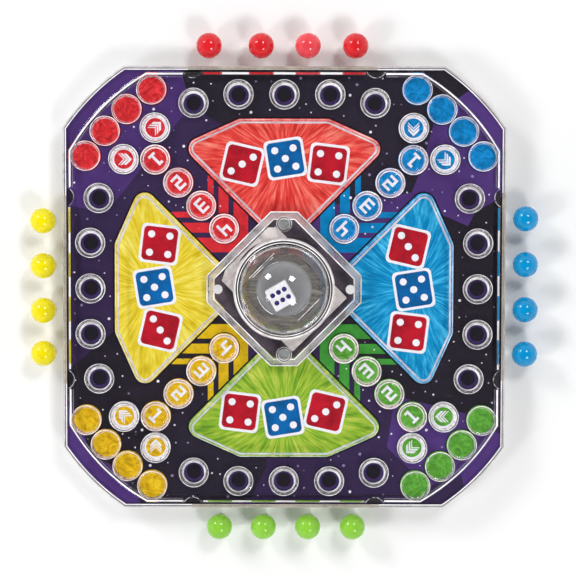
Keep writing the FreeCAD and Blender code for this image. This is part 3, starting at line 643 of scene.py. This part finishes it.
def make_motifs():
    """A row of three tumbling dice faces in the middle of each petal."""
    white = ink("ink_motif_line", (250, 248, 250), 0.97, 0.5)
    red = ink("ink_motif_red", (196, 26, 44), 0.78, 0.08)
    blue = ink("ink_motif_blue", (8, 104, 172), 0.78, 0.08)
    side, line = 20.5, 1.6
    step, pip_radius = side * 0.27, side * 0.105
    square = [(x, y) for x in (-step, step) for y in (-step, step)]
    pips = {3: [(-step, -step), (0, 0), (step, step)], 4: square, 5: square + [(0, 0)]}
    faces = ((-25.2, -1.6, -13.0, red, 3), (0.6, 1.8, 9.0, blue, 5), (26.4, -1.4, -7.0, red, 4))
    for quarter, colour in enumerate(PETALS):
        lines, inks, dots = [], {red.name: [], blue.name: []}, []
        for x, y, turn_deg, finish, count in faces:
            lines.append(motif_face(side / 2 + line, (x, y), turn_deg, quarter))
            inks[finish.name].append(motif_face(side / 2, (x, y), turn_deg, quarter))
            spun = Matrix.Rotation(math.radians(turn_deg), 2)
            for pip in pips[count]:
                spot = spun @ Vector(pip) + Vector((x, y))
                dots.append(ring_points(*turned(spot.x, spot.y + MOTIF_MIDDLE, quarter), pip_radius, 28))
        print_layer("motif_line_" + colour, lines, 4, white)
        print_layer("motif_red_" + colour, inks[red.name], 5, red)
        print_layer("motif_blue_" + colour, inks[blue.name], 5, blue)
        print_layer("motif_pips_" + colour, dots, 6, white)


def in_outline(x, y, outline):
    """True if the point lies inside a closed outline."""
    inside = False
    for index, (x2, y2) in enumerate(outline):
        x1, y1 = outline[index - 1]
        if (y1 > y) != (y2 > y) and x < (x2 - x1) * (y - y1) / (y2 - y1) + x1:
            inside = not inside
    return inside


def make_stars():
    """Small white dots over the night ground, clear of the cells and petals."""
    draw = random.Random(7)
    count, half, reach, middle, room = 170, 126, 150, 48, 10.8
    petals = [petal(-3.0, quarter) for quarter in range(4)]
    taken = all_spots("track", "start", "entry", "home")
    bright, faint = [], []
    while len(bright) + len(faint) < count:
        x, y = draw.uniform(-half, half), draw.uniform(-half, half)
        radius = draw.choice((0.35, 0.45, 0.45, 0.6, 0.85))
        if math.hypot(x, y) > reach or any(in_outline(x, y, outline) for outline in petals):
            continue
        if min(math.hypot(x - cx, y - cy) for cx, cy in taken) < room or max(abs(x), abs(y)) < middle:
            continue
        # The ground that a star keeps clear reaches further to its right, so the stars lie unevenly.
        taken.append((x + 7.0, y))
        (bright if draw.random() < 0.6 else faint).append(ring_points(x, y, radius, 14))
    print_layer("stars_bright", bright, 2, ink("ink_star", (250, 248, 252), 0.96, 0.5))
    print_layer("stars_faint", faint, 2, ink("ink_star_faint", (150, 140, 176), 0.96, 0.5))


def wall_line(kind, radii):
    """Points of a socket's sloping wall, or of its floor and the deck past it, at the given radii."""
    top, low = SOCKET_WALL[kind]
    line = []
    for radius in radii:
        slope = min(max((radius - low) / (top - low), 0.0), 1.0)
        line.append((radius, DECK_TOP - SOCKET_DEEP * (1.0 - slope)))
    return line


def make_socket_edges():
    """The sockets' rims, walls and floors as thin skins: painted highlights and painted reflections where
    pale, painted shade where dark.
    """
    bright = glint("socket_rim", (255, 253, 255), 0.6, 1.0)
    soft = glint("socket_rim_soft", (252, 244, 246), 0.2, 0.95, 0.2)
    faint = glint("socket_rim_faint", (250, 240, 244), 0.05, 0.6, 0.25)
    clean = glint("socket_rim_clean", (255, 244, 247), 0.4, 0.95, 0.09, painted_glow=0.1)
    painted_pink_sheen = glint("socket_wall_clear", (250, 226, 230), 0.12, 0.42, 0.1)
    painted_grey_sheen = glint("socket_wall", (208, 202, 210), 0.05, 0.42, 0.35)
    shade = glint("socket_shade", (26, 22, 28), 0.35, 0.95, 0.2, 0.5)
    # Pale finishes are painted highlights and painted reflections of the clear moulding, shade is painted
    # shade; lean makes a ring wider on the red side.
    plans = (
        ("track", "rim", bright, (8.5, 8.65, 8.95), 0.0),
        ("track", "wall", painted_grey_sheen, (7.5, 8.1), 0.0),
        ("track", "line", faint, (7.85, 8.1), 0.2),
        ("track", "shade_outer", shade, (8.2, 8.42), 0.0),
        ("track", "shade_inner", shade, (7.3, 7.5), 0.0),
        ("track", "floor_rim", bright, (6.15, 6.3, 7.25), 0.55),
        ("entry", "rim", bright, (8.45, 8.65, 8.95), 0.0),
        ("entry", "shade", shade, (8.05, 8.25), 0.0),
        ("entry", "wall", soft, (6.5, 7.9), 0.35),
        ("start", "rim", clean, (8.5, 8.95), 0.0),
        ("start", "line", faint, (7.6, 8.1), 0.3),
        ("home", "rim", clean, (8.3, 8.4, 8.9), 0.0),
        ("home", "wall", painted_pink_sheen, (6.7, 8.2), 0.0),
        ("home", "line", clean, (6.95, 7.35), 0.25),
    )
    for kind, part, finish, radii, lean in plans:
        shape = bmesh.new()
        for centre in all_spots(kind):
            add_ring(shape, centre, wall_line(kind, radii), lean=lean)
        mesh_piece(f"{kind}_socket_{part}", shape, finish)


def ridge_path(inset, quarter):
    """A petal's outline from the housing's edge round to the housing's edge again, moved inward."""
    whole = petal(inset, 0)
    per_corner = len(whole) // 6
    path = whole[4 * per_corner:] + whole[:2 * per_corner]
    near_x = RIDGE_END[0] - inset * math.sqrt(0.5)
    near_y = RIDGE_END[1] + inset * math.sqrt(0.5)
    path = [(near_x, near_y)] + path + [(-near_x, near_y)]
    return [turned(x, y, quarter) for x, y in path]


def make_ridge_edges():
    """Painted highlights on the raised ridges round the petals: a pale painted band and bright painted lines.
    """
    high = DECK_TOP + RIDGE_HIGH
    band = glint("ridge_band", (216, 214, 224), 0.42, 0.78, 0.06)
    bright = glint("ridge_line", (246, 248, 255), 0.2, 0.9, 0.05)
    # Band, line and edge are painted highlights on the clear ridge.
    plans = (("band", band, 1.15, RIDGE_WIDE, 1), ("line", bright, 1.55, 1.95, 2),
             ("edge", bright, 0.0, 0.35, 1))
    for part, finish, near, far, level in plans:
        corners = ((near, high), (far, high), (far, high + level * SKIN), (near, high + level * SKIN))
        shape = bmesh.new()
        for quarter in range(4):
            add_loft(shape, [[(x, y, height) for x, y in ridge_path(inset, quarter)]
                             for inset, height in corners], closed=False)
        mesh_piece("petal_ridge_" + part, shape, finish)


def divided(outline, length=2.0):
    """A closed outline with its long sides divided into steps of about this length."""
    fine = []
    for index, (x, y) in enumerate(outline):
        after = outline[(index + 1) % len(outline)]
        steps = max(1, int(math.dist((x, y), after) / length))
        fine += [(x + (after[0] - x) * step / steps, y + (after[1] - y) * step / steps)
                 for step in range(steps)]
    return fine


def loop_runs(chosen, past=0):
    """Runs of chosen indices round a loop, each with so many of the next indices too."""
    count = len(chosen)
    runs = []
    for start in range(count):
        if chosen[start] and not chosen[start - 1]:
            length = next(step for step in range(1, count) if not chosen[(start + step) % count])
            runs.append([(start + step) % count for step in range(length + past)])
    return runs


def pushed(outline):
    """Unit outward directions at the points of a closed outline."""
    ways = []
    for index in range(len(outline)):
        before, after = Vector(outline[index - 1]), Vector(outline[(index + 1) % len(outline)])
        run = (after - before).normalized()
        ways.append(Vector((run.y, -run.x)))
    return ways


def beside_corner(x, y):
    """True on the bowed corners' side of the notches."""
    return min(abs(x), abs(y)) > CORNER_FROM


def add_run(shape, outline, ways, run, section):
    """Adds a strip along a run of an outline's points, its section given as (distance outward, height)."""
    places = [(*outline[index], ways[index]) for index in run]
    add_loft(shape, [[(x + way.x * out, y + way.y * out, height) for x, y, way in places]
                     for out, height in section], closed=False)


def make_deck_edges():
    """The raised deck's polished edge and the lines along it, from notch to notch: a mirror along the sides,
    a painted highlight with painted glow at the bowed corners, and painted shade and grey painted lines
    inside it.
    """
    edge = divided(board_edge(DECK_HALF, DECK_REACH))
    ways = pushed(edge)
    runs = loop_runs([min(math.dist(point, notch) for notch in NOTCHES) > NOTCH_ROOM for point in edge])
    mirror = edge_mirror("deck_edge_mirror")
    # Painted highlight with painted glow at the corners, painted shade and a grey painted line inside the
    # edge; the mirror's reflection is rendered.
    white = glint("deck_edge_white", (252, 248, 253), 0.6, 1.0, 0.07, painted_glow=0.28)
    grey = glint("deck_edge_grey", (150, 146, 154), 0.3, 0.85, 0.1)
    dark = glint("deck_edge_dark", (24, 20, 28), 0.6, 1.0, 0.1, 0.5)
    flat, lip = DECK_TOP + 0.02, DECK_TOP + 0.03
    low, middle = FLANGE_TOP + 1.4, FLANGE_TOP + 2.2
    line = skin([(-2.15, flat), (-2.55, flat)])
    plans = (("deck_polished_edge", mirror, ((-1.0, low), (-0.5, low), (-1.9, lip), (-2.1, lip)), False),
             ("deck_corner_edge", white, ((-1.45, middle), (-1.0, middle), (-1.9, lip), (-2.1, lip)), True),
             ("deck_side_line", dark, line, False),
             ("deck_corner_line", dark, line, True),
             ("deck_corner_inner_line", grey, skin([(-3.0, flat), (-3.4, flat)]), True))
    for name, finish, section, corner in plans:
        shape = bmesh.new()
        for run in runs:
            if beside_corner(*edge[run[len(run) // 2]]) == corner:
                add_run(shape, edge, ways, run, section)
        mesh_piece(name, shape, finish)


def make_flange_edges():
    """Painted highlights and painted reflections in lines round the flange: white and grey at the bowed
    corners, beige and drab along the sides, the white inner one with painted glow.
    """
    rim = divided(board_edge(FLANGE_HALF, FLANGE_REACH, 28))
    ways = pushed(rim)
    # All these lines are painted highlights and painted reflections of the clear flange.
    bright = glint("flange_rim", (255, 254, 255), 0.75, 1.0, 0.05, painted_glow=0.15)
    grey = glint("flange_line", (116, 110, 118), 0.65, 1.0, 0.05)
    beige = glint("flange_side", (196, 186, 172), 0.55, 0.95, 0.05)
    drab = glint("flange_side_inner", (168, 158, 148), 0.5, 0.95, 0.05)
    silver = glint("flange_skirt_line", (176, 170, 176), 0.4, 0.9, 0.05)
    pale = glint("flange_rim_pale", (226, 220, 224), 0.6, 1.0, 0.05)
    low, bend = FLANGE_TOP - 2.6, FLANGE_TOP - 0.85
    lines = (("side", silver, drab, ((0.6, low), (0.3, bend))),
             ("outer", pale, beige, ((0.3, bend), (-0.5, FLANGE_TOP - 0.02))),
             ("line", grey, drab, ((-0.55, FLANGE_TOP), (-1.15, FLANGE_TOP))),
             ("inner", bright, beige, ((-1.2, FLANGE_TOP), (-1.75, FLANGE_TOP))))
    for part, at_corner, at_side, line in lines:
        for place, finish, corner in (("corner", at_corner, True), ("side", at_side, False)):
            shape = bmesh.new()
            for run in loop_runs([beside_corner(x, y) == corner for x, y in rim], past=1):
                add_run(shape, rim, ways, run, skin(line))
            mesh_piece(f"flange_{place}_{part}", shape, finish)


def make_notches():
    """The half-round notches in the deck's edge, with painted shade inside and a thin painted highlight round
    the rim.
    """
    spread = math.acos((NOTCH_OUT - DECK_HALF + 0.3) / NOTCH_RADIUS)
    start, end = math.pi - spread, math.pi + spread
    floor, rim = bmesh.new(), bmesh.new()
    for quarter in range(4):
        for along in (-NOTCH_ALONG, NOTCH_ALONG):
            middle = (NOTCH_OUT, along)
            bow = arc_points(middle, NOTCH_RADIUS, start, end, 20)
            band = arc_points(middle, NOTCH_RADIUS + 0.15, start, end, 20)
            band += arc_points(middle, NOTCH_RADIUS + 0.55, end, start, 20)
            add_prism(floor, [turned(x, y, quarter) for x, y in bow], FLANGE_TOP, FLANGE_TOP + SKIN)
            add_prism(rim, [turned(x, y, quarter) for x, y in band], DECK_TOP, DECK_TOP + SKIN)
    # Painted shade on the notch floors and a painted highlight on their rims.
    shade = glint("notch_shade", (16, 13, 18), 0.55, 0.95, 0.02, 0.5)
    mesh_piece("notch_floors", floor, shade)
    mesh_piece("notch_rims", rim, glint("notch_rim", (232, 226, 236), 0.0, 0.75, 0.3))


def housing_slope(inset):
    """A point on the housing's sloping side, as (inset, height)."""
    return inset, HOUSING_EDGE + min(max(inset, 0.0), HOUSING_RISE)


def make_housing_edges():
    """Painted light on the housing: a painted sheen over its sloping sides, and painted highlight lines, some
    with painted glow, and painted shade lines round its edges, collar and posts.
    """
    # Painted sheen, painted highlights with painted glow, and painted shade lines.
    painted_sheen = glint("housing_haze", (214, 210, 212), 0.2, 0.56, 0.045)
    painted_highlight = glint("housing_bead", (255, 253, 253), 0.45, 1.0, 0.06, painted_glow=0.3)
    soft = glint("housing_soft_bead", (236, 232, 232), 0.25, 0.8, 0.08)
    dark = glint("housing_line", (60, 56, 60), 0.3, 0.8, 0.12, 0.5)
    bands = (("housing_slope", painted_sheen, (0.55, 4.15)),
             ("housing_foot_bead", painted_highlight, (0.0, 0.5)),
             ("housing_top_bead", painted_highlight, (4.2, 4.5, 4.75)))
    for name, finish, insets in bands:
        shape = bmesh.new()
        add_loft(shape, [[(x, y, height) for x, y in octagon(inset)]
                         for inset, height in skin([housing_slope(inset) for inset in insets])])
        mesh_piece(name, shape, finish)
    rings = (("collar_rim_outer", painted_highlight, COLLAR_OUTER - 0.5, COLLAR_OUTER, COLLAR_TOP),
             ("collar_rim_inner", painted_highlight, COLLAR_INNER, COLLAR_INNER + 0.45, COLLAR_TOP),
             ("collar_foot", soft, COLLAR_OUTER + 0.05, COLLAR_OUTER + 0.9, HOUSING_TOP),
             ("collar_shade", dark, COLLAR_INNER + 0.6, COLLAR_INNER + 1.0, COLLAR_TOP))
    for name, finish, inner, outer, level in rings:
        shape = bmesh.new()
        add_ring(shape, (0.0, 0.0), [(inner, level), (outer, level)], 96)
        mesh_piece(name, shape, finish)
    for name, finish, inner, outer in (("post_rings", soft, 4.2, 4.75), ("post_lines", dark, 3.75, 4.15),
                                       ("post_inner_rings", soft, 3.1, 3.6)):
        shape = bmesh.new()
        for sign in (-1.0, 1.0):
            add_ring(shape, (0.0, sign * POST_OUT), [(inner, HOUSING_TOP), (outer, HOUSING_TOP)], 40)
        mesh_piece(name, shape, finish)


def make_frame_gleam():
    """A painted highlight with painted glow on the pale frame's plate, on the red and yellow side of the dome
    and clear of it.
    """
    dome_room, spread = 31.4, math.radians(38.0)
    spin = Matrix.Rotation(math.radians(135.0), 2)
    streak = [(29.4, -22.6), (32.9, -19.0), (32.9, 17.0), (29.8, 22.4), (24.5, 21.8)]
    streak += arc_points((0.0, 0.0), dome_room, spread, -spread, 16)
    outline = [tuple(spin @ Vector(corner)) for corner in streak]
    # Painted highlight with painted glow.
    finish = glint("frame_gleam", (255, 251, 244), 0.35, 1.0, 0.05, painted_glow=0.15)
    shape = bmesh.new()
    add_prism(shape, outline, FRAME_PLATE_TOP, FRAME_PLATE_TOP + SKIN)
    mesh_piece("frame_gleam", shape, finish)


def make_post_tops():
    """The grey tops of the housing's two posts."""
    shape = bmesh.new()
    for sign in (-1.0, 1.0):
        add_prism(shape, ring_points(0.0, sign * POST_OUT, 3.05, 40), HOUSING_TOP, HOUSING_TOP + SKIN)
    mesh_piece("post_tops", shape, glint("post_top", (140, 142, 142), 0.72, 0.95, 0.3))


def make_plate_edges():
    """Painted highlights with painted glow along the click plate's edges and on the rim of its dish."""
    # Painted highlights with painted glow.
    bright = glint("plate_edge", (255, 253, 248), 0.2, 1.0, 0.14, painted_glow=0.6)
    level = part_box("click_plate")[1].z / MM
    dish_inner, dish_outer = 16.5, 16.85
    strips = ((135.0, 19.2, 19.55, -11.0, 10.5),
              (135.0, 18.0, 18.3, -9.0, 9.0),
              (315.0, 19.15, 19.55, -7.5, 11.0))
    shape = bmesh.new()
    for way_deg, near, far, start, end in strips:
        spin = Matrix.Rotation(math.radians(way_deg), 2)
        corners = [spin @ Vector(corner) for corner in ((near, start), (far, start), (far, end), (near, end))]
        add_prism(shape, [tuple(corner) for corner in corners], level, level + SKIN)
    for start, end in ((196.0, 246.0), (292.0, 332.0), (100.0, 128.0)):
        turns = (math.radians(start), math.radians(end))
        outline = arc_points((0.0, 0.0), dish_outer, *turns, 16)
        outline += arc_points((0.0, 0.0), dish_inner, *turns[::-1], 16)
        add_prism(shape, outline, level, level + SKIN)
    mesh_piece("plate_glints", shape, bright, "dome")


def die_plastic():
    """White plastic, with dark violet paint in the pips' hollows."""
    made, tree = material("die_plastic")
    middle = (DIE_LOW + DIE_HIGH) / 2 / MM
    half = (DIE_HIGH.z - DIE_LOW.z) / 2 / MM
    least_sink, face_half = 0.015, 5.6
    away = tree.add("VectorMath", {0: tree.place(), 1: tuple(middle)}, operation="SUBTRACT").outputs[0]
    back = -math.radians(DIE_TURN_DEG)
    straight = tree.add("VectorRotate", {"Vector": away, "Angle": back}, rotation_type="Z_AXIS")
    size = tree.add("VectorMath", {0: straight.outputs[0]}, operation="ABSOLUTE").outputs[0]
    parts = tree.add("SeparateXYZ", {0: size})
    x, y, z = parts.outputs
    most = tree.maths("MAXIMUM", tree.maths("MAXIMUM", x, y), z)
    least = tree.maths("MINIMUM", tree.maths("MINIMUM", x, y), z)
    total = tree.maths("ADD", tree.maths("ADD", x, y), z)
    second = tree.maths("SUBTRACT", tree.maths("SUBTRACT", total, most), least)
    sunk = tree.maths("LESS_THAN", most, half - least_sink)
    flat = tree.maths("LESS_THAN", second, face_half)
    cloud = tree.noise(tree.place(), 0.3, 3.0)
    ground = tree.ramp(cloud, [(0.3, (232, 230, 234)), (0.7, (250, 249, 250))])
    base = tree.blend(tree.maths("MULTIPLY", sunk, flat), ground, linear((42, 30, 108)))
    tree.principled({"Base Color": base, "Roughness": 0.22, "IOR": 1.5})
    return made


def dress_nodes():
    """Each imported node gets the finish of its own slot."""
    finishes = {
        "base_tray": satin_plastic("tray_plastic", (232, 230, 224), (218, 215, 208), 0.4),
        "printed_card": card_print("card_night"),
        "clear_deck": clear_plastic("deck_plastic", (250, 251, 255), 0.02, (0.97, 0.97, 0.98, 1.0)),
        "popper_housing": clear_plastic("housing_plastic", (244, 241, 244), 0.04, (0.94, 0.93, 0.94, 1.0),
                                        0.05),
        "dome": clear_plastic("dome_plastic", (252, 252, 254), 0.01, (0.97, 0.97, 0.97, 1.0)),
        "popper_cup": satin_plastic("cup_plastic", (120, 112, 118), (84, 78, 84), 0.4),
        "popper_frame": satin_plastic("frame_plastic", (255, 252, 246), (214, 208, 204), 0.3),
        "plate_ring": satin_plastic("ring_plastic", (96, 90, 82), (62, 57, 52), 0.35),
        "click_plate": plate_steel("plate_steel"),
        "housing_screws": steel("screw_steel", (180, 178, 172), (132, 130, 126)),
        "pin_left": satin_plastic("pin_plastic", (226, 224, 224), (206, 204, 205), 0.4),
        "die": die_plastic(),
    }
    finishes["pin_right"] = finishes["pin_left"]
    foot = rubber("foot_rubber")
    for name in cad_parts:
        if name.startswith("foot_"):
            finishes[name] = foot
    for colour in CORNERS:
        plastic = peg_plastic("peg_" + colour, PEG[colour])
        for index in range(1, 5):
            finishes[f"peg_{colour}_{index}"] = plastic
    finishes["peg_red_3"] = peg_plastic("peg_pale_red", PALE_RED)
    for name, finish in finishes.items():
        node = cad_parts[name]
        for slot in node.material_slots:
            slot.material = finish


def make_floor():
    """A plain white floor that keeps a soft shadow and reads as white in sight and in reflections."""
    made, tree = material("floor_paper")
    reach, lift = 4.0, 0.03
    cloud = tree.noise(tree.place(0.001), 3.0, 2.0)
    tone = tree.ramp(cloud, [(0.3, (238, 238, 238)), (0.7, (242, 242, 242))])
    matte = tree.add("BsdfDiffuse", {"Color": tone})
    path = tree.add("LightPath")
    seen = tree.maths("MAXIMUM", path.outputs["Is Camera Ray"], path.outputs["Is Glossy Ray"])
    seen = tree.maths("MAXIMUM", seen, path.outputs["Is Transmission Ray"])
    strength = tree.maths("MULTIPLY", seen, lift)
    glow = tree.add("Emission", {"Color": (1.0, 1.0, 1.0, 1.0), "Strength": strength})
    tree.finish(tree.add("AddShader", {0: matte, 1: glow}))
    mesh = bpy.data.meshes.new("floor")
    corners = [(-reach, -reach, 0), (reach, -reach, 0), (reach, reach, 0), (-reach, reach, 0)]
    mesh.from_pydata(corners, [], [(0, 1, 2, 3)])
    mesh.materials.append(made)
    floor = bpy.data.objects.new("floor", mesh)
    SCENE.collection.objects.link(floor)


def make_world():
    """Bright at the horizon and dim overhead, as in a small studio with white walls."""
    world = bpy.data.worlds.new("studio")
    SCENE.world = world
    tree = Tree(world)
    up = tree.add("SeparateXYZ", {0: tree.add("TexCoord").outputs["Generated"]}).outputs[2]
    level = tree.span(up, 1.0, 0.04, 0.35, 0.75)
    sky = tree.add("Background", {"Color": (1.0, 1.0, 1.0, 1.0), "Strength": level})
    tree.feed(tree.add("OutputWorld").inputs["Surface"], sky)


def make_lamps():
    """Four square softboxes round the top of the board, the third left out of reflections."""
    distance, across = 2.0, 0.42
    lamps = (((-0.62, 0.53, 0.574), True), ((0.324, 0.477, 0.817), True),
             ((-0.66, -0.33, 0.675), False), ((0.38, -0.53, 0.86), True))
    for index, (way, reflected) in enumerate(lamps, start=1):
        data = bpy.data.lights.new(f"softbox_{index}", "AREA")
        data.shape, data.size, data.energy = "SQUARE", across, LAMP_WATTS
        lamp = bpy.data.objects.new(f"softbox_{index}", data)
        lamp.visible_glossy = reflected
        lamp.location = Vector(way).normalized() * distance
        lamp.rotation_euler = Vector(way).to_track_quat("Z", "Y").to_euler()
        SCENE.collection.objects.link(lamp)


def make_camera():
    """A long lens straight above, leaning a little toward the red side."""
    focal_px, width_px, sensor = 2014.0, 576.0, 36.0
    lean, roll = math.radians(3.37), math.radians(-0.11)
    shift = Vector((-2.34, -0.5, -1204.0))
    turn = Matrix.Rotation(roll, 3, "Z") @ Matrix.Rotation(lean, 3, "X")
    data = bpy.data.cameras.new("camera")
    data.sensor_width, data.lens = sensor, focal_px / width_px * sensor
    data.clip_start, data.clip_end = 0.05, 20.0
    camera = bpy.data.objects.new("camera", data)
    spot = -(turn.transposed() @ shift) + Vector((0.0, 0.0, DECK_TOP))
    camera.matrix_world = Matrix.Translation(spot * MM) @ turn.transposed().to_4x4()
    SCENE.collection.objects.link(camera)
    SCENE.camera = camera


make_camera()
make_world()
make_lamps()
make_floor()
dress_nodes()
make_prints()
make_socket_edges()
make_ridge_edges()
make_deck_edges()
make_flange_edges()
make_notches()
make_housing_edges()
make_frame_gleam()
make_post_tops()
make_plate_edges()

SCENE.view_settings.view_transform = "Standard"
